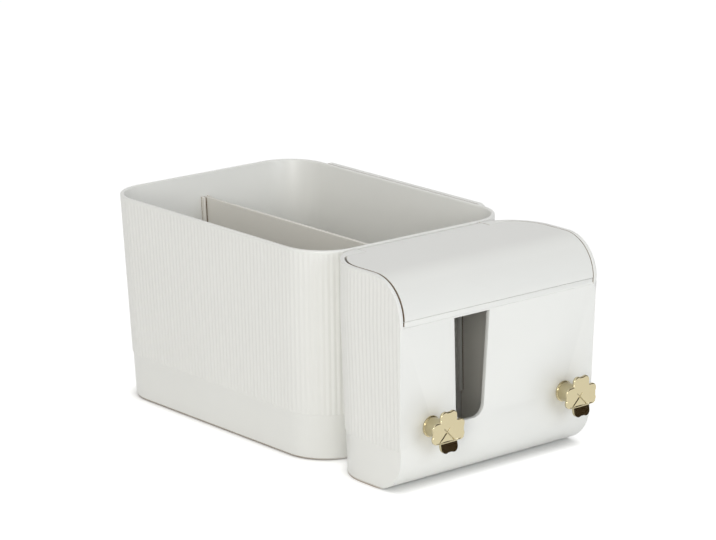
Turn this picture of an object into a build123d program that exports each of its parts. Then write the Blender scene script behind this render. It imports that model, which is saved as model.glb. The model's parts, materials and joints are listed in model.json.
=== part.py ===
from build123d import *
from math import cos, hypot, radians, sin, tan
import os

# Wall makeup organizer: an open bin, a lidded box on its end, and the plate that holds both on a wall.
# Millimetres. X runs along the wall from the bin to the box, Y points at the wall and Z is up.
# The origin is the centre of the outline of the bin and the box from above, on the surface they stand on.

os.makedirs("parts", exist_ok=True)

# Bin
bin_length = 179.0
depth = 135.0
bin_height = 110.8
bin_corner = 24.0
bin_wall = 2.2
bin_floor = 2.2
end_draft = 4.5
room_side_draft = 1.15
bin_band_height = 24.0
band_inset = 0.45

# Divider of the bin, and the upright guides that hold its ends
divider_thickness = 2.0
divider_top = 98.0
divider_clearance = 0.3
guide_rib = 1.5
guide_reach = 2.5

# Box, a little lower and narrower than the bin beside it
depth_step = 0.8
rim_step = 0.3
box_length = 62.0
box_depth = depth - depth_step
box_height = bin_height - rim_step
box_corner = 27.5
box_wall = 2.2
box_floor = 2.2
box_front_radius = 21.2
box_foot_radius = 19.7
box_side_draft = 1.5
box_back_draft = 1.85
box_front_draft = 0.8
box_band_height = 23.0
module_gap = 0.4

# Slot in the front of the box, and the thinner lip that the lid's edge meets
slot_top_width = 23.8
slot_bottom_width = 18.4
slot_place = -19.4
slot_bottom = 31.2
slot_top = 85.8
slot_corner = 6.5
lip_height = 2.9
lip_recess = 0.4

# Partition inside the box, and its guides
partition_thickness = 1.8
partition_place = 27.5
partition_top = 78.0
partition_corner = 18.0
partition_clearance = 0.3
partition_guide_bottom = 24.0
partition_guide_reach = 2.2

# Lid, its rolled back edge, the knuckles of the box beside it and its two pins
lid_thickness = 2.0
lid_gap = 0.8
lid_shift = 0.4
lip_slit = 2.2
seam_gap = 0.3
barrel_radius = 2.2
barrel_half = 42.0
back_clearance = 0.3
hinge_clearance = 0.3
knuckle_radius = 6.0
pin_radius = 1.0
pin_running_gap = 0.05
pin_in_lid = 8.0
pin_in_box = 4.9

# Hanging lugs, of one section on the plate and on the box
lug_width = 16.0
lug_neck = 4.0
lug_rise = 4.5
lug_lip = 2.0
lug_clearance = 0.3
lug_side_clearance = 0.4
lift_travel = 5.5
plate_lug_spacing = 70.0
plate_lug_top = 62.0
box_lug_spacing = 60.0
box_lug_bottom = 78.0

# Wall plate and its two adhesive strips
plate_thickness = 3.0
plate_gap = 0.4
plate_end_inset = 24.0
plate_top = bin_height
plate_bottom = 18.0
plate_corner = 5.0
strip_thickness = 1.0
strip_height = 28.0
strip_margin = 6.0

# Hooks: a round stem with a base ring, and a four-leaf clover with its lower leaf bent outward
hook_spacing = 91.0
hook_level = 32.9
stem_radius = 5.0
stem_length = 10.6
base_ring_radius = 5.5
base_ring_thickness = 0.9
clover_thickness = 1.5
clover_offset = 1.2
lobe_radius = 2.8
lobe_side = 2.6
lobe_reach = 7.75
leaf_dip = 0.4
leaf_bend_start = 4.6
leaf_bend_radius = 5.0
leaf_bend_angle = 13.0
leaf_end_length = 8.0
long_groove = 6.9
long_groove_width = 0.6
long_groove_depth = 0.7
short_groove = 2.6
short_groove_width = 0.4
short_groove_depth = 0.3

# Boss, screw and washer behind each clover
boss_radius = 3.2
boss_length = 6.0
boss_clearance = 0.3
thread_radius = 1.5
thread_end_room = 0.8
screw_length = 12.0
screw_hole_clearance = 0.2
screw_head_radius = 2.9
screw_head_height = 2.0
screw_head_round = 0.6
washer_radius = 4.0
washer_thickness = 0.8

# Places that follow from the sizes above
bin_left = -(bin_length + module_gap + box_length) / 2
bin_right = bin_left + bin_length
bin_middle = (bin_left + bin_right) / 2
box_back = bin_right + module_gap
box_front = box_back + box_length
seam_level = box_height - box_front_radius
lean_level = seam_level - lip_height
hinge_x = box_back + back_clearance + barrel_radius
hinge_z = box_height - barrel_radius
wall_reach = depth / 2
box_reach = box_depth / 2
margin = 1.0
bury = 0.5


def bin_end(level):
    """X of the bin's leaning end, outside, at one level."""
    return bin_left + (bin_height - level) * tan(radians(end_draft))


def bin_outline(level, inset):
    """Outline of the bin at one level, drawn in by an inset. Its room side leans, its wall side doesn't."""
    left = bin_end(level)
    lean = (bin_height - level) * tan(radians(room_side_draft))
    with BuildSketch(Plane.XY.offset(level)) as outline:
        with Locations(((left + bin_right) / 2, lean / 2)):
            RectangleRounded(bin_right - left - 2 * inset, depth - lean - 2 * inset, bin_corner - inset)
    return outline.sketch


def box_lean(level, draft):
    """How far a wall of the box has come in at one level. The walls lean below the lip under the seam."""
    return max(0.0, lean_level - level) * tan(radians(draft))


def box_back_face(level):
    """X of the box's back wall, outside, at one level."""
    return box_back + box_lean(level, box_back_draft)


def box_front_face(level):
    """X of the box's front wall, outside, at one level."""
    return box_front - box_lean(level, box_front_draft)


def patch(left, right, bottom, top):
    """Rectangle in the sketch in hand, given by its four edges."""
    with Locations(((left + right) / 2, (bottom + top) / 2)):
        return Rectangle(right - left, top - bottom)


def box_outline(level, inset, front_inset):
    """Outline of the box at one level, with round corners at the bin and square ones in front."""
    half = box_reach - box_lean(level, box_side_draft) - inset
    with BuildSketch(Plane.XY.offset(level)) as outline:
        patch(box_back_face(level) + inset, box_front_face(level) - front_inset, -half, half)
        fillet(outline.vertices().group_by(Axis.X)[0], box_corner - inset)
    return outline.sketch


def side_view(inset, low, high):
    """Side view of the box in the sketch in hand, drawn in from its leaning front, with all of its back."""
    Polygon((box_back, low), (box_front_face(low) - inset, low), (box_front - inset, lean_level),
            (box_front - inset, high), (box_back, high), align=None)


def bottom_corner(sketch):
    """Front corner at the foot of a side view."""
    return sketch.vertices().sort_by(Axis.Y)[:2].sort_by(Axis.X)[-1]


def leaning_strip(faces, back, front):
    """Strip along a leaning wall in the side view in hand, between two distances from the wall's face."""
    low, high = faces
    Polygon((low + back, partition_guide_bottom), (low + front, partition_guide_bottom),
            (high + front, partition_top), (high + back, partition_top), align=None)


def block(low, high, mode=Mode.ADD):
    """Block in the part in hand, given by two opposite corners."""
    middle = [(a + b) / 2 for a, b in zip(low, high)]
    with Locations(tuple(middle)):
        return Box(*[b - a for a, b in zip(low, high)], mode=mode)


def hook_face(side):
    """Plane of the box's leaning front at one hook, with X across, Y up and Z out along the hook."""
    return Plane((box_front_face(hook_level), side * hook_spacing / 2, hook_level), x_dir=(0, 1, 0),
                 z_dir=(cos(radians(box_front_draft)), 0, -sin(radians(box_front_draft))))


def end_cylinder(side, start, radius, length, mode=Mode.SUBTRACT):
    """Cylinder on the lid's axis, from a distance off the middle towards one end."""
    with Locations(Plane((hinge_x, side * start, hinge_z), z_dir=(0, side, 0))):
        return Cylinder(radius, length, align=(Align.CENTER, Align.CENTER, Align.MIN), mode=mode)


# Bin: a leaning left end, a smooth band at the foot, windows for the lugs and guides for the divider
window_half = lug_width / 2 + lug_side_clearance
plate_window_low = plate_lug_top - lug_neck - lift_travel - lug_clearance
box_window_high = box_lug_bottom + lug_neck + lift_travel + lug_clearance

with BuildPart() as bin_shell:
    loft([bin_outline(level, band_inset) for level in (0, bin_band_height)], ruled=True)
    loft([bin_outline(level, 0) for level in (bin_band_height, bin_height)], ruled=True)
    loft([bin_outline(level, bin_wall) for level in (bin_floor, bin_height + margin)],
         ruled=True, mode=Mode.SUBTRACT)
    for side in (-1, 1):
        place = bin_middle + side * plate_lug_spacing / 2
        block((place - window_half, wall_reach - bin_wall - margin, plate_window_low),
              (place + window_half, wall_reach + margin, plate_lug_top + lug_clearance), Mode.SUBTRACT)
    for side in (-1, 1):
        place = side * box_lug_spacing / 2
        block((bin_right - bin_wall - margin, place - window_half, box_lug_bottom - lug_clearance),
              (bin_right + margin, place + window_half, box_window_high), Mode.SUBTRACT)
    foot = bin_floor - bury
    foot_left = bin_end(foot) + bin_wall
    top_left = bin_end(divider_top) + bin_wall
    for side in (-1, 1):
        rib_place = side * (divider_thickness / 2 + divider_clearance + guide_rib / 2)
        with BuildSketch(Plane.XZ.offset(-rib_place)):
            Polygon((foot_left - bury, foot), (foot_left + guide_reach, foot),
                    (top_left + guide_reach, divider_top), (top_left - bury, divider_top), align=None)
        extrude(amount=guide_rib / 2, both=True)
        block((bin_right - bin_wall - guide_reach, rib_place - guide_rib / 2, foot),
              (bin_right - bin_wall + bury, rib_place + guide_rib / 2, divider_top))
bin_shell.part.label = "bin_shell"
export_step(bin_shell.part, "parts/bin_shell.step")

# Divider: a loose plate that stands on the bin's floor, with one end cut to the bin's leaning end
divider_right = bin_right - bin_wall - divider_clearance
with BuildPart() as bin_divider:
    with BuildSketch(Plane.XZ):
        Polygon((bin_end(bin_floor) + bin_wall + divider_clearance, bin_floor),
                (divider_right, bin_floor), (divider_right, divider_top),
                (bin_end(divider_top) + bin_wall + divider_clearance, divider_top), align=None)
    extrude(amount=divider_thickness / 2, both=True)
bin_divider.part.label = "bin_divider"
export_step(bin_divider.part, "parts/bin_divider.step")

# Inside of the box, with a round foot in front
with BuildPart() as box_cavity:
    loft([box_outline(level, box_wall, box_wall) for level in (0, lean_level)], ruled=True)
    extrude(box_outline(lean_level, box_wall, box_wall), amount=box_height + margin - lean_level)
    with BuildSketch(Plane.XZ) as cavity_view:
        side_view(box_wall, box_floor, box_height + 2 * margin)
        fillet(bottom_corner(cavity_view), box_foot_radius - box_wall)
    extrude(amount=depth, both=True, mode=Mode.INTERSECT)

# Knuckles: the solid back corners of the box that hold the lid's pins
with BuildPart() as box_knuckles:
    for side in (-1, 1):
        end_cylinder(side, barrel_half + hinge_clearance, knuckle_radius, wall_reach, Mode.ADD)
    extrude(box_outline(seam_level, 0, 0), amount=box_front_radius, mode=Mode.INTERSECT)

# Box: banded sides, a smooth front with a slot, a low back edge under the lid's roll, and two lugs
inner_reach = box_reach - box_wall
barrel_reach = barrel_half + hinge_clearance
guide_backs = [box_back_face(level) + box_wall for level in (partition_guide_bottom, partition_top)]
guide_fronts = [box_front_face(level) - box_wall for level in (partition_guide_bottom, partition_top)]
with BuildPart() as box_shell:
    loft([box_outline(level, band_inset, 0) for level in (0, box_band_height)], ruled=True)
    loft([box_outline(level, 0, 0) for level in (box_band_height, lean_level)], ruled=True)
    extrude(box_outline(lean_level, 0, 0), amount=box_height - lean_level)
    with BuildSketch(Plane.XZ) as body_view:
        side_view(0, 0, box_height)
        fillet(bottom_corner(body_view), box_foot_radius)
        fillet(body_view.vertices().sort_by(Axis.Y)[-2:].sort_by(Axis.X)[-1], box_front_radius)
    extrude(amount=depth, both=True, mode=Mode.INTERSECT)
    add(box_cavity.part, mode=Mode.SUBTRACT)
    block((box_front - box_front_radius, -inner_reach, seam_level),
          (box_front + margin, inner_reach, box_height + margin), Mode.SUBTRACT)
    block((box_front - lip_recess, -inner_reach, lean_level),
          (box_front + margin, inner_reach, seam_level + margin), Mode.SUBTRACT)
    for side in (-1, 1):
        slit_width = lid_gap - side * lid_shift
        slit_place = side * (inner_reach - slit_width / 2)
        block((box_front - box_wall - margin, slit_place - slit_width / 2, seam_level - lip_slit),
              (box_front + margin, slit_place + slit_width / 2, seam_level + margin), Mode.SUBTRACT)
    block((box_back - margin, -barrel_reach, hinge_z - barrel_radius - hinge_clearance),
          (hinge_x + barrel_radius, barrel_reach, box_height + margin), Mode.SUBTRACT)
    add(box_knuckles.part)
    for side in (-1, 1):
        end_cylinder(side, barrel_half, pin_radius, wall_reach)
    with BuildSketch(Plane.YZ.offset(box_front + margin)) as slot_outline:
        Polygon((slot_place - slot_bottom_width / 2, slot_bottom),
                (slot_place + slot_bottom_width / 2, slot_bottom),
                (slot_place + slot_top_width / 2, slot_top),
                (slot_place - slot_top_width / 2, slot_top), align=None)
        fillet(slot_outline.vertices().group_by(Axis.Y)[0], slot_corner)
    extrude(amount=-(box_wall + 4 * margin), mode=Mode.SUBTRACT)
    for side in (-1, 1):
        with BuildSketch(hook_face(side).offset(margin)):
            Circle(thread_radius + screw_hole_clearance)
        extrude(amount=-(box_wall + 2 * margin), mode=Mode.SUBTRACT)
    for side in (-1, 1):
        rib_place = partition_place + side * (partition_thickness / 2 + partition_clearance + guide_rib / 2)
        with BuildSketch(Plane.XZ.offset(-rib_place)):
            leaning_strip(guide_backs, -bury, partition_guide_reach)
            leaning_strip(guide_fronts, -partition_guide_reach, bury)
        extrude(amount=guide_rib / 2, both=True)
    lip_face = bin_right - bin_wall - lug_clearance
    for side in (-1, 1):
        lug_low = side * box_lug_spacing / 2 - lug_width / 2
        lug_high = lug_low + lug_width
        block((lip_face, lug_low, box_lug_bottom),
              (box_back_face(box_lug_bottom) + bury, lug_high, box_lug_bottom + lug_neck))
        block((lip_face - lug_lip, lug_low, box_lug_bottom - lug_rise),
              (lip_face, lug_high, box_lug_bottom + lug_neck))
box_shell.part.label = "box_shell"
export_step(box_shell.part, "parts/box_shell.step")

# Partition: stands on the box's floor between its guides, with a round corner over the round foot
partition_inset = box_wall + partition_clearance
with BuildPart() as box_partition:
    with BuildSketch(Plane.XZ.offset(-partition_place)) as partition_view:
        Polygon((box_back_face(box_floor) + partition_inset, box_floor),
                (box_front_face(box_floor) - partition_inset, box_floor),
                (box_front_face(partition_top) - partition_inset, partition_top),
                (box_back_face(partition_top) + partition_inset, partition_top), align=None)
        fillet(bottom_corner(partition_view), partition_corner)
    extrude(amount=partition_thickness / 2, both=True)
box_partition.part.label = "box_partition"
export_step(box_partition.part, "parts/box_partition.step")

# Lid: a plate that curves down in front, nearer to the wall-side end, with a rolled back edge on the pins
under_lid = box_height - lid_thickness
with BuildPart() as lid:
    lid_outline = Pos(0, lid_shift, 0) * box_outline(seam_level, box_wall + lid_gap, 0)
    extrude(lid_outline, amount=box_front_radius)
    with BuildSketch(Plane.XZ) as outside_view:
        patch(box_back, box_front, seam_level - margin, box_height)
        fillet(outside_view.vertices().group_by(Axis.X)[-1].sort_by(Axis.Y)[-1], box_front_radius)
    extrude(amount=depth, both=True, mode=Mode.INTERSECT)
    with BuildSketch(Plane.XZ) as inside_view:
        patch(box_back - margin, box_front - lid_thickness, seam_level - margin, under_lid)
        inside_corner = inside_view.vertices().group_by(Axis.X)[-1].sort_by(Axis.Y)[-1]
        fillet(inside_corner, box_front_radius - lid_thickness)
    extrude(amount=depth, both=True, mode=Mode.SUBTRACT)
    block((box_front - box_front_radius, -wall_reach, seam_level - margin),
          (box_front + margin, wall_reach, seam_level + seam_gap), Mode.SUBTRACT)
    for side in (-1, 1):
        end_cylinder(side, barrel_half, knuckle_radius + hinge_clearance, wall_reach)
    block((hinge_x, -barrel_half, under_lid), (hinge_x + box_wall, barrel_half, box_height))
    end_cylinder(1, -barrel_half, barrel_radius, 2 * barrel_half, Mode.ADD)
    for side in (-1, 1):
        end_cylinder(side, barrel_half - pin_in_lid, pin_radius + pin_running_gap, wall_reach)
lid.part.label = "lid"
export_step(lid.part, "parts/lid.step")

# Pins: pressed into the knuckles, with the lid's roll turning on them
for side, hand in ((-1, "left"), (1, "right")):
    with BuildPart() as lid_pin:
        pin_length = pin_in_lid + hinge_clearance + pin_in_box
        end_cylinder(side, barrel_half - pin_in_lid, pin_radius, pin_length, Mode.ADD)
    lid_pin.part.label = f"lid_pin_{hand}"
    export_step(lid_pin.part, f"parts/lid_pin_{hand}.step")

# Wall plate: a flat plate with two upturned lugs that the bin hangs on
plate_front = wall_reach + plate_gap
plate_back = plate_front + plate_thickness
plate_half = bin_length / 2 - plate_end_inset
with BuildPart() as wall_plate:
    with BuildSketch(Plane.XZ.offset(-plate_front)) as plate_view:
        patch(bin_middle - plate_half, bin_middle + plate_half, plate_bottom, plate_top)
        fillet(plate_view.vertices(), plate_corner)
    extrude(amount=-plate_thickness)
    lip_face = wall_reach - bin_wall - lug_clearance
    for side in (-1, 1):
        lug_low = bin_middle + side * plate_lug_spacing / 2 - lug_width / 2
        lug_high = lug_low + lug_width
        block((lug_low, lip_face, plate_lug_top - lug_neck),
              (lug_high, plate_front + bury, plate_lug_top))
        block((lug_low, lip_face - lug_lip, plate_lug_top - lug_neck),
              (lug_high, lip_face, plate_lug_top + lug_rise))
wall_plate.part.label = "wall_plate"
export_step(wall_plate.part, "parts/wall_plate.step")

# Adhesive strips: flat on the back of the plate, one near its top and one near its foot
strip_half = plate_half - strip_margin
strip_bottoms = {"upper": plate_top - strip_margin - strip_height, "lower": plate_bottom + strip_margin}
for name, bottom in strip_bottoms.items():
    with BuildPart() as adhesive_strip:
        block((bin_middle - strip_half, plate_back, bottom),
              (bin_middle + strip_half, plate_back + strip_thickness, bottom + strip_height))
    adhesive_strip.part.label = f"adhesive_strip_{name}"
    export_step(adhesive_strip.part, f"parts/adhesive_strip_{name}.step")

# Hooks on the front of the box: each is a stem, a clover with a threaded boss, a screw and a washer
clover_back = stem_length
clover_front = clover_back + clover_thickness
leaf_rise = (lobe_reach + lobe_radius - leaf_bend_start) * tan(radians(leaf_bend_angle))
bend_centre = (clover_front + leaf_bend_radius, -leaf_bend_start)
clover_top = lobe_reach + lobe_radius + margin
head_seat = -box_wall - washer_thickness
screw_tip = head_seat + screw_length
boss_start = clover_back - boss_length
lobe_distance = hypot(lobe_side, lobe_reach)
lobe_angle = Vector(1, 0).get_angle(Vector(lobe_side, lobe_reach))
for side, hand in ((-1, "left"), (1, "right")):
    face = hook_face(side)
    hook_side = Plane(face.origin, x_dir=face.z_dir, z_dir=(0, -1, 0))

    with BuildPart() as hook_stem:
        with BuildSketch(face):
            Circle(stem_radius)
        extrude(amount=stem_length)
        with BuildSketch(face):
            Circle(base_ring_radius)
        extrude(amount=base_ring_thickness)
        with BuildSketch(face):
            Circle(thread_radius + screw_hole_clearance)
        extrude(amount=stem_length, mode=Mode.SUBTRACT)
        with BuildSketch(face.offset(clover_back)):
            Circle(boss_radius + boss_clearance)
        extrude(amount=-(boss_length + boss_clearance), mode=Mode.SUBTRACT)
    hook_stem.part.label = f"hook_stem_{hand}"
    export_step(hook_stem.part, f"parts/hook_stem_{hand}.step")

    with BuildPart() as clover_plate:
        with BuildSketch(face.offset(clover_back)):
            with Locations((clover_offset, 0)):
                for turn in (0, 90):
                    Rectangle(2 * lobe_reach, 2 * (lobe_side + lobe_radius), rotation=turn)
                    Rectangle(2 * (lobe_reach + lobe_radius - leaf_dip), 2 * lobe_side, rotation=turn)
                for angle in (lobe_angle, 90 - lobe_angle):
                    with PolarLocations(lobe_distance, 4, start_angle=angle):
                        Circle(lobe_radius)
        extrude(amount=clover_thickness + leaf_rise)
        with BuildSketch(hook_side):
            with BuildLine():
                front_arc = CenterArc(bend_centre, leaf_bend_radius, 180, leaf_bend_angle)
                back_arc = CenterArc(bend_centre, leaf_bend_radius + clover_thickness, 180, leaf_bend_angle)
                front_end = Line(front_arc @ 1, front_arc @ 1 + leaf_end_length * (front_arc % 1))
                back_end = Line(back_arc @ 1, back_arc @ 1 + leaf_end_length * (back_arc % 1))
                Line(front_end @ 1, back_end @ 1)
                Polyline(back_arc @ 0, (clover_back, clover_top), (clover_front, clover_top), front_arc @ 0)
            make_face()
        extrude(amount=lobe_reach + 2 * lobe_radius, both=True, mode=Mode.INTERSECT)
        with BuildSketch(face.offset(clover_back)):
            Circle(boss_radius)
        extrude(amount=-boss_length)
        with BuildSketch(face.offset(boss_start)):
            Circle(thread_radius)
        extrude(amount=screw_tip + thread_end_room - boss_start, mode=Mode.SUBTRACT)
        for turn in (-135, -45):
            with BuildSketch(face.offset(clover_front - long_groove_depth)):
                with Locations(Rotation(0, 0, turn)):
                    Rectangle(long_groove, long_groove_width, align=(Align.MIN, Align.CENTER))
            extrude(amount=long_groove_depth + leaf_rise, mode=Mode.SUBTRACT)
        for turn in (45, 135):
            with BuildSketch(face.offset(clover_front - short_groove_depth)):
                with Locations(Rotation(0, 0, turn)):
                    Rectangle(short_groove, short_groove_width, align=(Align.MIN, Align.CENTER))
            extrude(amount=short_groove_depth + margin, mode=Mode.SUBTRACT)
    clover_plate.part.label = f"clover_plate_{hand}"
    export_step(clover_plate.part, f"parts/clover_plate_{hand}.step")

    with BuildPart() as hook_washer:
        with BuildSketch(face.offset(head_seat)):
            Circle(washer_radius)
            Circle(thread_radius + screw_hole_clearance, mode=Mode.SUBTRACT)
        extrude(amount=washer_thickness)
    hook_washer.part.label = f"hook_washer_{hand}"
    export_step(hook_washer.part, f"parts/hook_washer_{hand}.step")

    with BuildPart() as hook_screw:
        with BuildSketch(face.offset(head_seat)):
            Circle(thread_radius)
        extrude(amount=screw_length)
        with BuildSketch(face.offset(head_seat)):
            Circle(screw_head_radius)
        extrude(amount=-screw_head_height)
        fillet(hook_screw.edges().filter_by(GeomType.CIRCLE).group_by(Axis.X)[0], screw_head_round)
    hook_screw.part.label = f"hook_screw_{hand}"
    export_step(hook_screw.part, f"parts/hook_screw_{hand}.step")
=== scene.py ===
# %% [markdown]
# # A moulded wall organizer with gold hooks
# The object is an open bin of white plastic with fine upright flutes, a box with a curved lid on its
# end, and two clover hooks of plated metal. The CAD model gives every place and size; this notebook
# dresses it. We load the imported CAD model first and fetch the tools we need.

# %% Load the frame
import json
import math

import bmesh
import bpy
import numpy as np
from mathutils import Matrix, Vector

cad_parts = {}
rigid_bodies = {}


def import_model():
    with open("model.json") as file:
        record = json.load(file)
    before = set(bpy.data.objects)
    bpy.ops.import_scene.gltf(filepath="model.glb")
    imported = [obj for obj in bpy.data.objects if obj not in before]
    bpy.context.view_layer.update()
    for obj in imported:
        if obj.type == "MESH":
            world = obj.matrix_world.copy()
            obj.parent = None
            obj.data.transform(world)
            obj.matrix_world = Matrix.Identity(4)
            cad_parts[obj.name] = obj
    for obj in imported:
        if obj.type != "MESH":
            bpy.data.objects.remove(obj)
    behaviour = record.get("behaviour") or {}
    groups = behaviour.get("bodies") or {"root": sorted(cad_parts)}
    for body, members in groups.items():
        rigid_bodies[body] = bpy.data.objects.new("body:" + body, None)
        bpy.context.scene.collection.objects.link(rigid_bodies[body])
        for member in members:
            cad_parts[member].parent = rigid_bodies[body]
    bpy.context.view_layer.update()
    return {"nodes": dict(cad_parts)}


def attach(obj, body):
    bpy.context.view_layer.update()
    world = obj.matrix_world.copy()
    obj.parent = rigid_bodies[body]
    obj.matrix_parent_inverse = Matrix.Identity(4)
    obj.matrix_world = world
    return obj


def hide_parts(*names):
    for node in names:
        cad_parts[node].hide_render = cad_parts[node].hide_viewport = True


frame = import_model()
MM = 0.001
print("nodes:", ", ".join(sorted(frame["nodes"])))

# %% [markdown]
# ## Sizes
# These are the object's real sizes in millimetres, as in the CAD source. The bin's left end leans
# by 4.5 degrees and the other walls by one or two, as the mould needs. A smooth band runs round the
# foot.

# %% Sizes in millimetres
BIN_LEFT, BIN_RIGHT, DEPTH, BIN_HEIGHT = -120.7, 58.3, 135.0, 110.8
BIN_CORNER, WALL, FLOOR, BAND_INSET, BIN_BAND = 24.0, 2.2, 2.2, 0.45, 24.0
END_SLOPE, ROOM_SLOPE = math.tan(math.radians(4.5)), math.tan(math.radians(1.15))
BOX_BACK, BOX_FRONT, BOX_DEPTH, BOX_HEIGHT, BOX_CORNER = 58.7, 120.7, 134.2, 110.5, 27.5
SIDE_SLOPE, BACK_SLOPE = math.tan(math.radians(1.5)), math.tan(math.radians(1.85))
BOX_BAND, LID_RADIUS, LIP = 23.0, 21.2, 2.9
SEAM_LEVEL = BOX_HEIGHT - LID_RADIUS
FLUTE_PITCH, FLUTE_DEPTH = 2.87, 0.27
COLUMNS_PER_FLUTE = 8
HOOK_SPACING, HOOK_LEVEL = 91.0, 32.9

# %% [markdown]
# ## Camera
# A long lens keeps upright edges nearly parallel, as in a catalogue photo. The place and direction
# come from edges measured in the photo: about 41 degrees round from the front, 15 degrees above.

# %% Camera
IMAGE_WIDTH, FOCAL_PIXELS, SENSOR = 716, 3200.0, 36.0
AZIMUTH, PITCH, ROLL = math.radians(40.770), math.radians(15.105), math.radians(0.180)
CAMERA_PLACE = Vector((1.234751, -1.054476, 0.518219))


def aim(azimuth, pitch, roll):
    """Rotation of a camera that looks along -X turned by the azimuth towards +Y and down by the pitch."""
    forward = Vector((-math.cos(pitch) * math.cos(azimuth), math.cos(pitch) * math.sin(azimuth),
                      -math.sin(pitch)))
    right = forward.cross(Vector((0, 0, 1))).normalized()
    up = right.cross(forward)
    turned_right = math.cos(roll) * right + math.sin(roll) * up
    turned_up = math.cos(roll) * up - math.sin(roll) * right
    return Matrix((turned_right, turned_up, -forward)).transposed().to_4x4()


camera_data = bpy.data.cameras.new("camera")
camera_data.sensor_fit = "HORIZONTAL"
camera_data.sensor_width = SENSOR
camera_data.lens = SENSOR * FOCAL_PIXELS / IMAGE_WIDTH
camera_data.clip_end = 20
camera = bpy.data.objects.new("camera", camera_data)
camera.matrix_world = Matrix.Translation(CAMERA_PLACE) @ aim(AZIMUTH, PITCH, ROLL)
bpy.context.scene.collection.objects.link(camera)
bpy.context.scene.camera = camera
bpy.context.scene.view_settings.view_transform = "Standard"
print(f"lens {camera_data.lens:.1f} mm")

# %% [markdown]
# ## Colours and nodes
# Colours are written as sRGB hex values, as a paint chart gives them. Shaders want linear light,
# so one function turns them. A second one adds a shader node with its settings and its links.


# %% Colour and node helpers
def colour(code):
    """Linear RGBA of an sRGB hex code: ((c + 0.055) / 1.055) ** 2.4, or c / 12.92 in the darks."""
    srgb = np.array([int(code[i:i + 2], 16) for i in (0, 2, 4)]) / 255
    linear = np.where(srgb <= 0.04045, srgb / 12.92, ((srgb + 0.055) / 1.055) ** 2.4)
    return (*linear.tolist(), 1.0)


def add_node(tree, kind, settings=None, **inputs):
    """Add a node. Settings are its properties; inputs are socket values, or sockets to link from."""
    node = tree.nodes.new(kind)
    for key, value in (settings or {}).items():
        setattr(node, key, value)
    for key, value in inputs.items():
        socket = node.inputs[int(key[1:]) if key[1:].isdigit() else key.replace("_", " ")]
        if isinstance(value, bpy.types.NodeSocket):
            tree.links.new(value, socket)
        else:
            socket.default_value = value
    return node


def new_material(name):
    """A material with an empty node tree and its output node."""
    material = bpy.data.materials.new(name)
    material.use_nodes = True
    material.node_tree.nodes.clear()
    return material, material.node_tree, material.node_tree.nodes.new("ShaderNodeOutputMaterial")


# %% [markdown]
# ## Floor, world and lamps
# The object stands on white paper in soft light. The paper is a plain matt floor. Camera rays see it
# brighter, so that it runs out into the white world. That glow fades within 9 mm of the object,
# where it hides the paper from the lamps, and so the contact shadow stays.

# %% Floor and world
PAPER_HALF = 6.0
PAPER_GLOW, SHADOW_REACH = 0.50, 9 * MM
HIDDEN_SHARE, OPEN_SHARE = 0.25, 0.85
floor_mesh = bpy.data.meshes.new("paper_floor")
corners = np.array([(-1, -1, 0), (1, -1, 0), (1, 1, 0), (-1, 1, 0)]) * PAPER_HALF
floor_mesh.from_pydata(corners.tolist(), [], [(0, 1, 2, 3)])
floor = bpy.data.objects.new("paper_floor", floor_mesh)
bpy.context.scene.collection.objects.link(floor)
paper, tree, output = new_material("matt_paper")
light_path = add_node(tree, "ShaderNodeLightPath")
diffuse = add_node(tree, "ShaderNodeBsdfDiffuse", Color=colour("F4F4F3"))
seen = add_node(tree, "ShaderNodeMath", {"operation": "MAXIMUM"}, _0=light_path.outputs["Is Camera Ray"],
                _1=light_path.outputs["Is Glossy Ray"])
open_sky = add_node(tree, "ShaderNodeAmbientOcclusion", {"samples": 8}, Distance=SHADOW_REACH)
near_glow = add_node(tree, "ShaderNodeMapRange", Value=open_sky.outputs["AO"], From_Min=HIDDEN_SHARE,
                     From_Max=OPEN_SHARE, To_Min=0.0, To_Max=PAPER_GLOW)
glow = add_node(tree, "ShaderNodeMath", {"operation": "MULTIPLY"}, _0=seen.outputs[0],
                _1=near_glow.outputs[0])
emission = add_node(tree, "ShaderNodeEmission", Color=(1, 1, 1, 1), Strength=glow.outputs[0])
both = add_node(tree, "ShaderNodeAddShader", _0=diffuse.outputs[0], _1=emission.outputs[0])
tree.links.new(both.outputs[0], output.inputs[0])
floor_mesh.materials.append(paper)

AMBIENT = 0.50
world = bpy.data.worlds.new("studio")
bpy.context.scene.world = world
world.use_nodes = True
tree = world.node_tree
tree.nodes.clear()
light_path = add_node(tree, "ShaderNodeLightPath")
seen = add_node(tree, "ShaderNodeMath", {"operation": "MAXIMUM"}, _0=light_path.outputs["Is Camera Ray"],
                _1=light_path.outputs["Is Glossy Ray"])
strength = add_node(tree, "ShaderNodeMapRange", Value=seen.outputs[0], To_Min=AMBIENT, To_Max=1.0)
background = add_node(tree, "ShaderNodeBackground", Color=(1, 1, 1, 1), Strength=strength.outputs[0])
output = add_node(tree, "ShaderNodeOutputWorld", Surface=background.outputs[0])


# %% Lamps
OBJECT_MIDDLE = Vector((0, 0, 0.05))


def soft_lamp(name, place, size, watts, shade):
    """A square area lamp at a place, turned to the middle of the object."""
    lamp_data = bpy.data.lights.new(name, "AREA")
    lamp_data.size = size
    lamp_data.energy = watts
    lamp_data.color = colour(shade)[:3]
    lamp = bpy.data.objects.new(name, lamp_data)
    direction = OBJECT_MIDDLE - Vector(place)
    turn = direction.to_track_quat("-Z", "Y").to_matrix().to_4x4()
    lamp.matrix_world = Matrix.Translation(place) @ turn
    bpy.context.scene.collection.objects.link(lamp)


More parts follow.
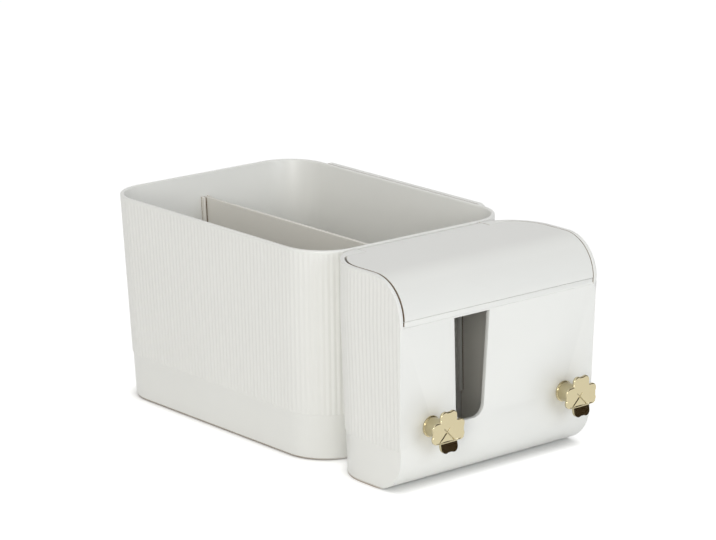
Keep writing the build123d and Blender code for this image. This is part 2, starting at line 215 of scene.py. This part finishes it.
soft_lamp("front_softbox", (1.7, 0.2, 0.5), 1.0, 6.5, "EEF5FF")
soft_lamp("overhead_softbox", (-0.2, -0.2, 1.9), 1.6, 3.6, "FFFDF8")
soft_lamp("camera_side_softbox", (1.3, -1.5, 0.6), 0.7, 13.0, "FFFEFA")
print("3 soft lamps")

# %% [markdown]
# ## A dark card
# A product photographer stands a dark card out of view, so that polished metal has something dark to
# mirror; without it gold looks like beige plastic. Only mirror-like rays see this card.

# %% Dark card
CARD_DISTANCE, CARD_WIDTH, CARD_HEIGHT, CARD_TURN = 0.75, 1.1, 1.3, math.radians(41)
HOOKS_X = 0.13
turn = np.array((math.cos(CARD_TURN), math.sin(CARD_TURN), 0.0))
across = np.array((-turn[1], turn[0], 0.0))
middle = np.array((HOOKS_X, 0.0, 0.0)) + CARD_DISTANCE * turn
card_points = [middle + CARD_WIDTH / 2 * s * across + np.array((0, 0, z))
               for s, z in ((-1, 0.0), (1, 0.0), (1, CARD_HEIGHT), (-1, CARD_HEIGHT))]
card_mesh = bpy.data.meshes.new("dark_card")
card_mesh.from_pydata([tuple(p) for p in card_points], [], [(0, 1, 2, 3)])
card = bpy.data.objects.new("dark_card", card_mesh)
bpy.context.scene.collection.objects.link(card)
card.visible_camera = card.visible_diffuse = card.visible_shadow = card.visible_transmission = False
felt, tree, output = new_material("dark_felt")
shader = add_node(tree, "ShaderNodeEmission", Color=colour("3A2C1C"), Strength=1.0)
tree.links.new(shader.outputs[0], output.inputs[0])
card_mesh.materials.append(felt)


# %% [markdown]
# ## Moulded ABS
# ABS comes out of a spark-eroded steel mould with a fine grain that spreads the highlights. The
# plastic is filled with white pigment, so its colour is even; only the gloss and a faint cloudiness
# of the pigment change. The grain of 0.05 mm is far under a pixel here, so it is drawn at 0.35 mm.
# Painted shade darkens the side gaps of the lid and other narrow gaps: an occlusion node mixes a dark
# brown into the colour of shut-in walls that face along Y. The front seam faces along X and stays light.

# %% Material: white ABS
CLOUD, GRAIN, RELIEF = 40 * MM, 0.35 * MM, 0.05 * MM
GRAIN_STRENGTH = 0.05
# Painted shade for narrow gaps: a dark brown, mixed in as the occlusion within 2.5 mm falls from 0.68 to
# 0.40.
GAP_REACH, LIT_SHARE, SHADED_SHARE, GAP_SHADE_COLOUR = 2.5 * MM, 0.68, 0.40, "7E6038"


def moulded_plastic(name, shade, cloud_shade, roughness):
    """Satin plastic: two near colours mixed by a soft cloud, a grain bump, roughness that follows the
    grain, and painted shade = (how shut in the point is) * (how far its face looks along Y)."""
    material, tree, output = new_material(name)
    place = add_node(tree, "ShaderNodeTexCoord").outputs["Object"]
    cloud = add_node(tree, "ShaderNodeTexNoise", Vector=place, Scale=1 / CLOUD, Detail=2.0)
    grain = add_node(tree, "ShaderNodeTexNoise", Vector=place, Scale=1 / GRAIN, Detail=3.0)
    tint = add_node(tree, "ShaderNodeMix", {"data_type": "RGBA"}, Factor=cloud.outputs[0],
                    _6=colour(shade), _7=colour(cloud_shade))
    gloss = add_node(tree, "ShaderNodeMapRange", Value=grain.outputs[0], From_Min=0.3, From_Max=0.7,
                     To_Min=roughness - 0.05, To_Max=roughness + 0.07)
    relief = add_node(tree, "ShaderNodeBump", Strength=GRAIN_STRENGTH, Distance=RELIEF,
                      Height=grain.outputs[0])
    open_sky = add_node(tree, "ShaderNodeAmbientOcclusion", {"samples": 8}, Distance=GAP_REACH)
    shut_in = add_node(tree, "ShaderNodeMapRange", Value=open_sky.outputs["AO"], From_Min=LIT_SHARE,
                       From_Max=SHADED_SHARE)
    facing = add_node(tree, "ShaderNodeNewGeometry").outputs["True Normal"]
    sideways = add_node(tree, "ShaderNodeVectorMath", {"operation": "DOT_PRODUCT"}, _0=facing,
                        _1=(0, 1, 0))
    side_wall = add_node(tree, "ShaderNodeMath", {"operation": "ABSOLUTE"}, _0=sideways.outputs["Value"])
    # Painted shade: the dark brown goes where a wall that faces along Y is shut in.
    painted_gap_shade = add_node(tree, "ShaderNodeMath", {"operation": "MULTIPLY"}, _0=shut_in.outputs[0],
                    _1=side_wall.outputs[0])
    gap_shaded = add_node(tree, "ShaderNodeMix", {"data_type": "RGBA"}, Factor=painted_gap_shade.outputs[0],
                    _6=tint.outputs[2], _7=colour(GAP_SHADE_COLOUR))
    shader = add_node(tree, "ShaderNodeBsdfPrincipled", Base_Color=gap_shaded.outputs[2],
                      Roughness=gloss.outputs[0], Normal=relief.outputs[0], IOR=1.53)
    tree.links.new(shader.outputs[0], output.inputs[0])
    return material


white_abs = moulded_plastic("white_moulded_abs", "EEEEEA", "EBEBE7", 0.34)
# The lid's copy is a little darker than the box's plastic: its tint is painted shade for the lid top, which
# the front lamps light less.
shaded_lid_abs = moulded_plastic("white_abs_lid_painted_shade", "ECECE8", "E9E9E5", 0.36)
# The inside pieces get a warmer, darker copy of the white plastic: its tint is painted shade of the
# interior of the bin and box.
shaded_inside_abs = moulded_plastic("white_abs_inside_painted_shade", "E8E5DE", "E3E0D8", 0.42)


# %% [markdown]
# ## Plated and bare metal
# The hooks are zinc castings with a pale champagne gold plating: a mirror with a slight orange peel
# from the buffing wheel. The screws, washers and pins are zinc-plated steel, duller and greyer.

# %% Materials: metals and foam
def polished_metal(name, shade, roughness, peel_mm, bump):
    """A metal whose roughness and relief follow a soft noise, as buffing or plating leaves it."""
    material, tree, output = new_material(name)
    place = add_node(tree, "ShaderNodeTexCoord").outputs["Object"]
    peel = add_node(tree, "ShaderNodeTexNoise", Vector=place, Scale=1 / (peel_mm * MM), Detail=2.0)
    gloss = add_node(tree, "ShaderNodeMapRange", Value=peel.outputs[0], To_Min=roughness * 0.7,
                     To_Max=roughness * 1.4)
    relief = add_node(tree, "ShaderNodeBump", Strength=bump, Distance=RELIEF, Height=peel.outputs[0])
    shader = add_node(tree, "ShaderNodeBsdfPrincipled", Base_Color=colour(shade), Metallic=1.0,
                      Roughness=gloss.outputs[0], Normal=relief.outputs[0])
    tree.links.new(shader.outputs[0], output.inputs[0])
    return material


champagne_gold = polished_metal("champagne_gold_plating", "C7BC9A", 0.08, 1.4, 0.06)
zinc_plate = polished_metal("zinc_plated_steel", "C4C5C4", 0.28, 0.5, 0.15)


def foam_tape(name, shade, cell_mm):
    """Closed-cell acrylic foam: matt, with small cells that show as round dimples."""
    material, tree, output = new_material(name)
    place = add_node(tree, "ShaderNodeTexCoord").outputs["Object"]
    cells = add_node(tree, "ShaderNodeTexVoronoi", Vector=place, Scale=1 / (cell_mm * MM))
    tint = add_node(tree, "ShaderNodeMix", {"data_type": "RGBA"}, Factor=cells.outputs[0],
                    _6=colour(shade), _7=colour("F2F1EE"))
    relief = add_node(tree, "ShaderNodeBump", Strength=0.3, Distance=0.1 * MM, Height=cells.outputs[0])
    shader = add_node(tree, "ShaderNodeBsdfPrincipled", Base_Color=tint.outputs[2], Roughness=0.85,
                      Normal=relief.outputs[0])
    tree.links.new(shader.outputs[0], output.inputs[0])
    return material


acrylic_foam = foam_tape("acrylic_foam_tape", "DAD9D5", 0.6)


# %% [markdown]
# ## From numbers to a mesh
# A shape is worked out as whole arrays of points, then handed to Blender in one go. Edges sharper
# than 35 degrees stay crisp and the rest is shaded smooth. A check counts open edges: a printable
# piece has none.

# %% Mesh helpers
SHARP = math.radians(35)


def link_mesh(name, mesh, material):
    """Link a mesh as an object at the origin, smooth but for its sharp edges, in one material."""
    mesh.shade_smooth()
    mesh.set_sharp_from_angle(angle=SHARP)
    mesh.materials.clear()
    mesh.materials.append(material)
    piece = bpy.data.objects.new(name, mesh)
    bpy.context.scene.collection.objects.link(piece)
    return piece


def mesh_of(name, points_mm, faces):
    """A mesh from points in millimetres and lists of corner numbers."""
    mesh = bpy.data.meshes.new(name)
    mesh.from_pydata((np.asarray(points_mm) * MM).tolist(), [], faces)
    mesh.validate()
    return mesh


def open_edges(mesh):
    """How many edges don't have exactly two faces."""
    shape = bmesh.new()
    shape.from_mesh(mesh)
    count = sum(len(edge.link_faces) != 2 for edge in shape.edges)
    shape.free()
    return count


def grid_quads(rows, columns, closed=True):
    """Corner numbers of the quads of a grid whose columns may run round: (r, c), (r, c+1), ..."""
    row = np.arange(rows - 1)[:, None]
    column = np.arange(columns if closed else columns - 1)[None, :]
    after = (column + 1) % columns
    quads = np.stack(np.broadcast_arrays(row * columns + column, row * columns + after,
                                         (row + 1) * columns + after, (row + 1) * columns + column), -1)
    return quads


# %% [markdown]
# ## The bin
# The bin is one moulded shell. Its outline is a rounded rectangle whose left end leans outwards, so
# each column of points slides along X as it goes down. The flutes are a cosine across the outline,
# cut into the wall. One grid runs up the outside, over the rim and down the inside; leaving cells out
# of both walls and joining their edges makes the windows that the hanging lugs pass through.

# %% Bin: outline and flutes
def rounded_outline(count):
    """Columns round a rounded rectangle, evenly spaced along it, starting at the +X end's low corner.

    Each has a share w of the way from the left corner centre to the right one, a share v from the
    room side to the wall side, and the angle t of its outward direction.
    """
    long_side = BIN_RIGHT - BIN_LEFT - 2 * BIN_CORNER
    short_side = DEPTH - 2 * BIN_CORNER
    quarter = math.pi / 2 * BIN_CORNER
    stops = np.cumsum([0, short_side, quarter, long_side, quarter, short_side, quarter, long_side, quarter])
    along = np.linspace(0, stops[-1], count, endpoint=False)
    right_angle = math.pi / 2
    w = np.interp(along, stops, [1, 1, 1, 0, 0, 0, 0, 1, 1])
    v = np.interp(along, stops, [0, 1, 1, 1, 1, 0, 0, 0, 0])
    t = np.interp(along, stops, np.array([0, 0, 1, 1, 2, 2, 3, 3, 4]) * right_angle)
    return along, stops[-1], w, v, t


flutes = round(rounded_outline(8)[1] / FLUTE_PITCH)
columns = flutes * COLUMNS_PER_FLUTE
along, girth, w, v, t = rounded_outline(columns)
groove = (1 - np.cos(2 * np.pi * np.arange(columns) / COLUMNS_PER_FLUTE)) / 2
print(f"bin girth {girth:.1f} mm, {flutes} flutes, {columns} columns")


def bin_ring(level, inset, flute):
    """Points of the bin at a level: corner centre + (radius - inset - flute * groove) * direction."""
    left = BIN_LEFT + (BIN_HEIGHT - level) * END_SLOPE
    room_lean = (BIN_HEIGHT - level) * ROOM_SLOPE
    radius = BIN_CORNER - inset - flute * FLUTE_DEPTH * groove
    centre_x = (1 - w) * (left + BIN_CORNER) + w * (BIN_RIGHT - BIN_CORNER)
    centre_y = (2 * v - 1) * (DEPTH / 2 - BIN_CORNER) + (1 - v) * room_lean
    return np.stack((centre_x + radius * np.cos(t), centre_y + radius * np.sin(t),
                     np.full(columns, float(level))), -1)


# %% Bin: rows from the foot, over the rim, to the inner floor
WINDOW_HALF, WINDOW_SLACK, ON_FACE = 8.4, 0.18, 0.01
PLATE_LUGS, BOX_LUGS = 35.0, 30.0
BIN_MIDDLE = (BIN_LEFT + BIN_RIGHT) / 2
PLATE_WINDOW, BOX_WINDOW = (52.2, 62.3), (77.7, 87.8)
# A foot step is a level and an inset; a rim step is a distance below the rim, an inset and the share
# of the flute's depth.
foot_steps = [(0.0, 1.6), (0.3, 0.75), (0.8, 0.25), (1.6, 0)]
outer_rows = [(level, BAND_INSET + inset, 0) for level, inset in foot_steps]
outer_rows += [(BIN_BAND - 0.2, BAND_INSET, 0), (BIN_BAND, BAND_INSET - 0.1, 0.2),
               (BIN_BAND + 0.25, 0.05, 0.8), (BIN_BAND + 0.5, 0, 1)]
outer_rows += [(level, 0, 1) for level in (*PLATE_WINDOW, *BOX_WINDOW)]
rim_steps = [(1.9, 0, 1), (1.5, 0, 0.6), (1.2, 0, 0.1), (0.8, 0, 0), (0.45, 0.08, 0), (0.15, 0.35, 0),
             (0, 0.8, 0)]
outer_rows += [(BIN_HEIGHT - down, inset, flute) for down, inset, flute in rim_steps]
inner_rows = [(BIN_HEIGHT - down, WALL - inset, 0) for down, inset, _ in reversed(rim_steps[3:])]
inner_rows += [(level, WALL, 0) for level in (*reversed(BOX_WINDOW), *reversed(PLATE_WINDOW))]
inner_rows += [(FLOOR + 1.6, WALL, 0), (FLOOR + 0.5, WALL + 0.45, 0), (FLOOR, WALL + 1.6, 0)]
rows = outer_rows + inner_rows
bin_points = np.concatenate([bin_ring(*row) for row in rows])


# %% Bin: windows
def window_columns(axis, middle, level):
    """First and last column of a window on the wall side (axis 0) or the box's end (axis 1)."""
    ring = bin_ring(level, 0, 0)
    on_face = ring[:, 1] > DEPTH / 2 - ON_FACE if axis == 0 else ring[:, 0] > BIN_RIGHT - ON_FACE
    gap = np.abs(ring[:, axis] - middle) - WINDOW_HALF
    inside = np.flatnonzero(on_face & (gap <= WINDOW_SLACK))
    return int(inside.min()), int(inside.max())


def row_number(level, inside):
    """Number of the outer or inner row at a level."""
    group = inner_rows if inside else outer_rows
    return [row[0] for row in group].index(level) + (len(outer_rows) if inside else 0)


quads = grid_quads(len(rows), columns)
keep = np.ones(quads.shape[:2], bool)
jambs = []
windows = [(0, BIN_MIDDLE + side * PLATE_LUGS, PLATE_WINDOW) for side in (-1, 1)]
windows += [(1, side * BOX_LUGS, BOX_WINDOW) for side in (-1, 1)]
for axis, middle, (low, high) in windows:
    first, last = window_columns(axis, middle, (low + high) / 2)
    outer_low, outer_high = row_number(low, False), row_number(high, False)
    inner_low, inner_high = row_number(low, True), row_number(high, True)
    keep[outer_low:outer_high, first:last] = False
    keep[inner_high:inner_low, first:last] = False
    c = np.arange(first, last)
    sill = np.stack((outer_low * columns + c, outer_low * columns + c + 1,
                     inner_low * columns + c + 1, inner_low * columns + c), -1)
    lintel = np.stack((inner_high * columns + c, inner_high * columns + c + 1,
                       outer_high * columns + c + 1, outer_high * columns + c), -1)
    left = [outer_low * columns + first, inner_low * columns + first,
            inner_high * columns + first, outer_high * columns + first]
    right = [outer_high * columns + last, inner_high * columns + last,
             inner_low * columns + last, outer_low * columns + last]
    jambs += sill.tolist() + lintel.tolist() + [left, right]
bottom = list(range(columns))[::-1]
inner_floor = [(len(rows) - 1) * columns + c for c in range(columns)]
bin_faces = quads[keep].tolist() + jambs + [bottom, inner_floor]
bin_mesh = mesh_of("bin_body", bin_points, bin_faces)
bin_body = link_mesh("bin_body", bin_mesh, white_abs)
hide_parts("bin_shell")
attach(bin_body, "bin")
print("bin faces", len(bin_mesh.polygons), "open edges", open_edges(bin_mesh))

# %% [markdown]
# ## Guides for the divider
# Two pairs of thin upright ribs inside the bin hold the divider's ends. Each rib is a prism, drawn by
# its side view; a Bevel modifier gives it the small radius that every moulded edge has.


# %% Divider guides
def prism(side_view, low_y, high_y):
    """Points and faces of a side view (x, z), run from one y to another. The view runs anticlockwise
    as seen from the room side, where x points right and z up."""
    view = np.asarray(side_view, float)
    count = len(view)
    near = np.insert(view, 1, low_y, axis=1)
    far = np.insert(view, 1, high_y, axis=1)
    n = np.arange(count)
    walls = np.stack((n, n + count, (n + 1) % count + count, (n + 1) % count), -1).tolist()
    ends = [list(range(count)), list(range(count, 2 * count))[::-1]]
    return np.concatenate((near, far)), ends + walls


def with_bevel(piece, radius_mm, segments=2):
    """Round every edge sharper than 35 degrees."""
    bevel = piece.modifiers.new("moulded_edges", "BEVEL")
    bevel.width = radius_mm * MM
    bevel.segments = segments
    bevel.limit_method = "ANGLE"
    bevel.angle_limit = SHARP
    return piece


RIB, REACH, RIB_PLACE, RIB_FOOT, RIB_TOP, BURIED = 1.5, 2.5, 2.05, 1.9, 98.0, 0.4
foot_left = BIN_LEFT + (BIN_HEIGHT - FLOOR) * END_SLOPE + WALL
top_left = BIN_LEFT + (BIN_HEIGHT - RIB_TOP) * END_SLOPE + WALL
left_view = [(foot_left - BURIED, RIB_FOOT), (foot_left + REACH, RIB_FOOT), (top_left + REACH, RIB_TOP),
             (top_left - BURIED, RIB_TOP)]
inner_end = BIN_RIGHT - WALL
right_view = [(inner_end - REACH, RIB_FOOT), (inner_end + BURIED, RIB_FOOT),
              (inner_end + BURIED, RIB_TOP), (inner_end - REACH, RIB_TOP)]
guide_points, guide_faces = [], []
for view in (left_view, right_view):
    for side in (-1, 1):
        points, faces = prism(view, side * RIB_PLACE - RIB / 2, side * RIB_PLACE + RIB / 2)
        guide_faces += [[corner + 8 * len(guide_points) for corner in face] for face in faces]
        guide_points.append(points)
guide_mesh = mesh_of("divider_guides", np.concatenate(guide_points), guide_faces)
guides = link_mesh("divider_guides", guide_mesh, shaded_inside_abs)
with_bevel(guides, 0.3)
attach(guides, "bin")
print("guide faces", len(guide_faces), "open edges", open_edges(guides.data))

# %% [markdown]
# ## Moulded copies of the CAD pieces
# The box, lid, divider, partition and plate have the right shape in CAD but knife-sharp edges, which
# no mould can make and no light can catch. We copy such a node's triangles, merge them, clear the
# flat faces of their diagonals, and round the sharp edges.


# %% Copies with rounded edges
SAME_PLACE, FLAT = 1e-6, math.radians(0.3)


def merged_copy(node, name):
    """A copy of a CAD node's mesh, its corners merged and its flat faces joined."""
    mesh = frame["nodes"][node].data.copy()
    mesh.name = name
    shape = bmesh.new()
    shape.from_mesh(mesh)
    bmesh.ops.remove_doubles(shape, verts=shape.verts, dist=SAME_PLACE)
    bmesh.ops.dissolve_limit(shape, angle_limit=FLAT, verts=shape.verts, edges=shape.edges)
    shape.to_mesh(mesh)
    shape.free()
    return mesh


def moulded_copy(node, name, body, material, radius_mm, segments=2):
    """The piece that stands for a CAD node, with rounded edges, riding on the node's body."""
    piece = link_mesh(name, merged_copy(node, name), material)
    with_bevel(piece, radius_mm, segments)
    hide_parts(node)
    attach(piece, body)
    return piece


lid_cover = moulded_copy("lid", "lid_cover", "lid", shaded_lid_abs, 0.15)
divider = moulded_copy("bin_divider", "divider_plate", "divider", shaded_inside_abs, 0.4)
partition = moulded_copy("box_partition", "partition_plate", "box", shaded_inside_abs, 0.4)
plate = moulded_copy("wall_plate", "hanging_plate", "wall_plate", white_abs, 0.35)
print("copies:", lid_cover.name, divider.name, partition.name, plate.name)

# %% [markdown]
# ## The box
# The box has the same flutes on its two sides and round its back corners. A cutter does the work of
# the fluted mould: a sheet that waves in and out of the wall, thickened outwards, and taken away from
# the box with a Boolean modifier. The waves fade close to the rim and start above the band.


# %% Box: flute cutter
OVERSHOOT, SHEET, SKIN, CORNER_SWEEP = 1.0, 1.2, 0.015, math.radians(84)
PLAIN_RIM, RIM_FADE, RIM_STEP, BAND_STEP = 0.7, 0.6, 0.7, 0.35


def rim_distance(x, z):
    """How far a point of the side is below the box's rim, which turns down in front as a quarter circle."""
    right = x - (BOX_FRONT - LID_RADIUS)
    above = z - SEAM_LEVEL
    round_part = (right > 0) & (above > 0)
    return np.where(round_part, LID_RADIUS - np.hypot(right, above), BOX_HEIGHT - z)


def flute_cutter(side):
    """A closed sheet round one side of the box: its inner face is the fluted wall, its outer face
    stands clear. Columns run along the side and round the back corner; rows run up."""
    start = BOX_FRONT + OVERSHOOT
    straight = start - (BOX_BACK + BOX_CORNER)
    sweep = BOX_CORNER * CORNER_SWEEP
    count = int((straight + sweep) / FLUTE_PITCH * COLUMNS_PER_FLUTE)
    s = np.arange(count) * FLUTE_PITCH / COLUMNS_PER_FLUTE
    angle = np.clip(s - straight, 0, None) / BOX_CORNER
    base_x = np.where(s < straight, start - s, BOX_BACK + BOX_CORNER)
    wave = (1 - np.cos(2 * np.pi * np.arange(count) / COLUMNS_PER_FLUTE)) / 2
    plain_levels = [BOX_BAND, BOX_BAND + BAND_STEP, BOX_BAND + 12, SEAM_LEVEL - 20, SEAM_LEVEL - LIP]
    levels = np.concatenate((plain_levels, np.arange(SEAM_LEVEL, BOX_HEIGHT + 1.5 * OVERSHOOT, RIM_STEP)))
    below = np.clip(SEAM_LEVEL - LIP - levels, 0, None)[:, None]
    x0, z = np.meshgrid(base_x, levels)
    fade = np.clip((rim_distance(x0, z) - PLAIN_RIM) / RIM_FADE, 0, 1) * (z > BOX_BAND)
    depth_in = SKIN - FLUTE_DEPTH * wave[None, :] * fade
    sheets = []
    for offset in (depth_in, np.full_like(depth_in, SHEET)):
        radius = BOX_CORNER + offset
        lean = below * BACK_SLOPE * np.clip(s / straight, 0, 1)[None, :]
        x = x0 - radius * np.sin(angle)[None, :] + lean
        y = side * (BOX_DEPTH / 2 - BOX_CORNER + radius * np.cos(angle)[None, :] - below * SIDE_SLOPE)
        sheets.append(np.stack((x, y, z), -1).reshape(-1, 3))
    rows_in = len(levels)
    inner = grid_quads(rows_in, count, closed=False).reshape(-1, 4)
    size = rows_in * count
    border = np.concatenate((np.arange(count), np.arange(1, rows_in) * count + count - 1,
                             (rows_in - 1) * count + np.arange(count - 2, -1, -1),
                             np.arange(rows_in - 2, 0, -1) * count))
    follow = np.roll(border, -1)
    edge = np.stack((border, border + size, follow + size, follow), -1)
    faces = np.concatenate((inner, inner[:, ::-1] + size, edge[:, ::-1])).tolist()
    mesh = mesh_of("flute_cutter", np.concatenate(sheets), faces)
    shape = bmesh.new()
    shape.from_mesh(mesh)
    bmesh.ops.recalc_face_normals(shape, faces=shape.faces)
    shape.to_mesh(mesh)
    shape.free()
    print("cutter", count, "columns, open edges", open_edges(mesh))
    return bpy.data.objects.new("flute_cutter", mesh)


# %% Box: rounded edges, then flutes
def applied(piece):
    """The piece's mesh with its modifiers worked in."""
    bpy.context.view_layer.update()
    return bpy.data.meshes.new_from_object(piece.evaluated_get(bpy.context.evaluated_depsgraph_get()))


rough_box = link_mesh("rough_box", merged_copy("box_shell", "rough_box"), white_abs)
with_bevel(rough_box, 0.18)
for side in (-1, 1):
    cutter = flute_cutter(side)
    bpy.context.scene.collection.objects.link(cutter)
    cut = rough_box.modifiers.new("flutes", "BOOLEAN")
    cut.operation = "DIFFERENCE"
    cut.solver = "EXACT"
    cut.object = cutter
box_mesh = applied(rough_box)
for scrap in [rough_box] + [o for o in bpy.data.objects if o.name.startswith("flute_cutter")]:
    bpy.data.objects.remove(scrap)
box_body = link_mesh("box_body", box_mesh, white_abs)
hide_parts("box_shell")
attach(box_body, "box")
print("box faces", len(box_mesh.polygons), "open edges", open_edges(box_mesh))

# %% [markdown]
# ## The hooks
# Each hook is a drum with a thin ring at its foot and a clover with a lower leaf that curves outwards.
# A polished casting never has a sharp edge: the buffing wheel rounds it, and the rounded edge mirrors
# the dark card as a thin line. So the flat leaves get a wide bevel, weighted edge by edge, and the
# grooves a narrow one. The bent leaf's short edges would fold a bevel over, so it has none.

# %% Hooks
OUTLINE_EDGE, GROOVE_SHARE, GROOVE_END, LEAF_BEND = 0.5, 0.3, 7.25, 4.6
BEVEL_STEPS, THROUGH = 4, 0.5


def buffed_clover(hand, side):
    """A clover whose flat leaves are rounded by 0.5 mm and its grooves by a third of that. An edge counts
    as outline when it is farther than GROOVE_END from the middle."""
    name = f"clover_{hand}"
    clover = moulded_copy(f"clover_plate_{hand}", name, "box", champagne_gold,
                          OUTLINE_EDGE, BEVEL_STEPS)
    clover.modifiers[0].limit_method = "WEIGHT"
    clover.modifiers[0].use_clamp_overlap = False
    shape = bmesh.new()
    shape.from_mesh(clover.data)
    weight = shape.edges.layers.float.new("bevel_weight_edge")
    centre = np.array((side * HOOK_SPACING / 2, HOOK_LEVEL)) * MM
    for edge in shape.edges:
        middle = (edge.verts[0].co + edge.verts[1].co) / 2
        along = (edge.verts[1].co - edge.verts[0].co).normalized()
        reach = math.hypot(middle.y - centre[0], middle.z - centre[1])
        flat_part = middle.z > centre[1] - LEAF_BEND * MM and abs(along.x) < THROUGH
        if flat_part and len(edge.link_faces) == 2 and edge.calc_face_angle() > SHARP:
            edge[weight] = 1.0 if reach > GROOVE_END * MM else GROOVE_SHARE
    shape.to_mesh(clover.data)
    shape.free()
    return clover


for side, hand in ((-1, "left"), (1, "right")):
    moulded_copy(f"hook_stem_{hand}", f"stem_{hand}", "box", champagne_gold,
                 0.2, 3)
    print("hook", hand, "edges", len(buffed_clover(hand, side).data.edges))

# %% [markdown]
# ## Small steel and tape
# The screws, washers, pins and tape are simple turned, stamped and cut pieces, whose CAD shape is
# already right. They keep their meshes and only take a finish.

# %% Finishes of the CAD pieces
finishes = {"adhesive_strip": acrylic_foam, "lid_pin": zinc_plate, "hook_washer": zinc_plate,
            "hook_screw": zinc_plate}
for name, node in frame["nodes"].items():
    for start, material in finishes.items():
        if name.startswith(start):
            node.data.materials.clear()
            node.data.materials.append(material)
print("finished", sum(name.startswith(tuple(finishes)) for name in frame["nodes"]), "CAD pieces")
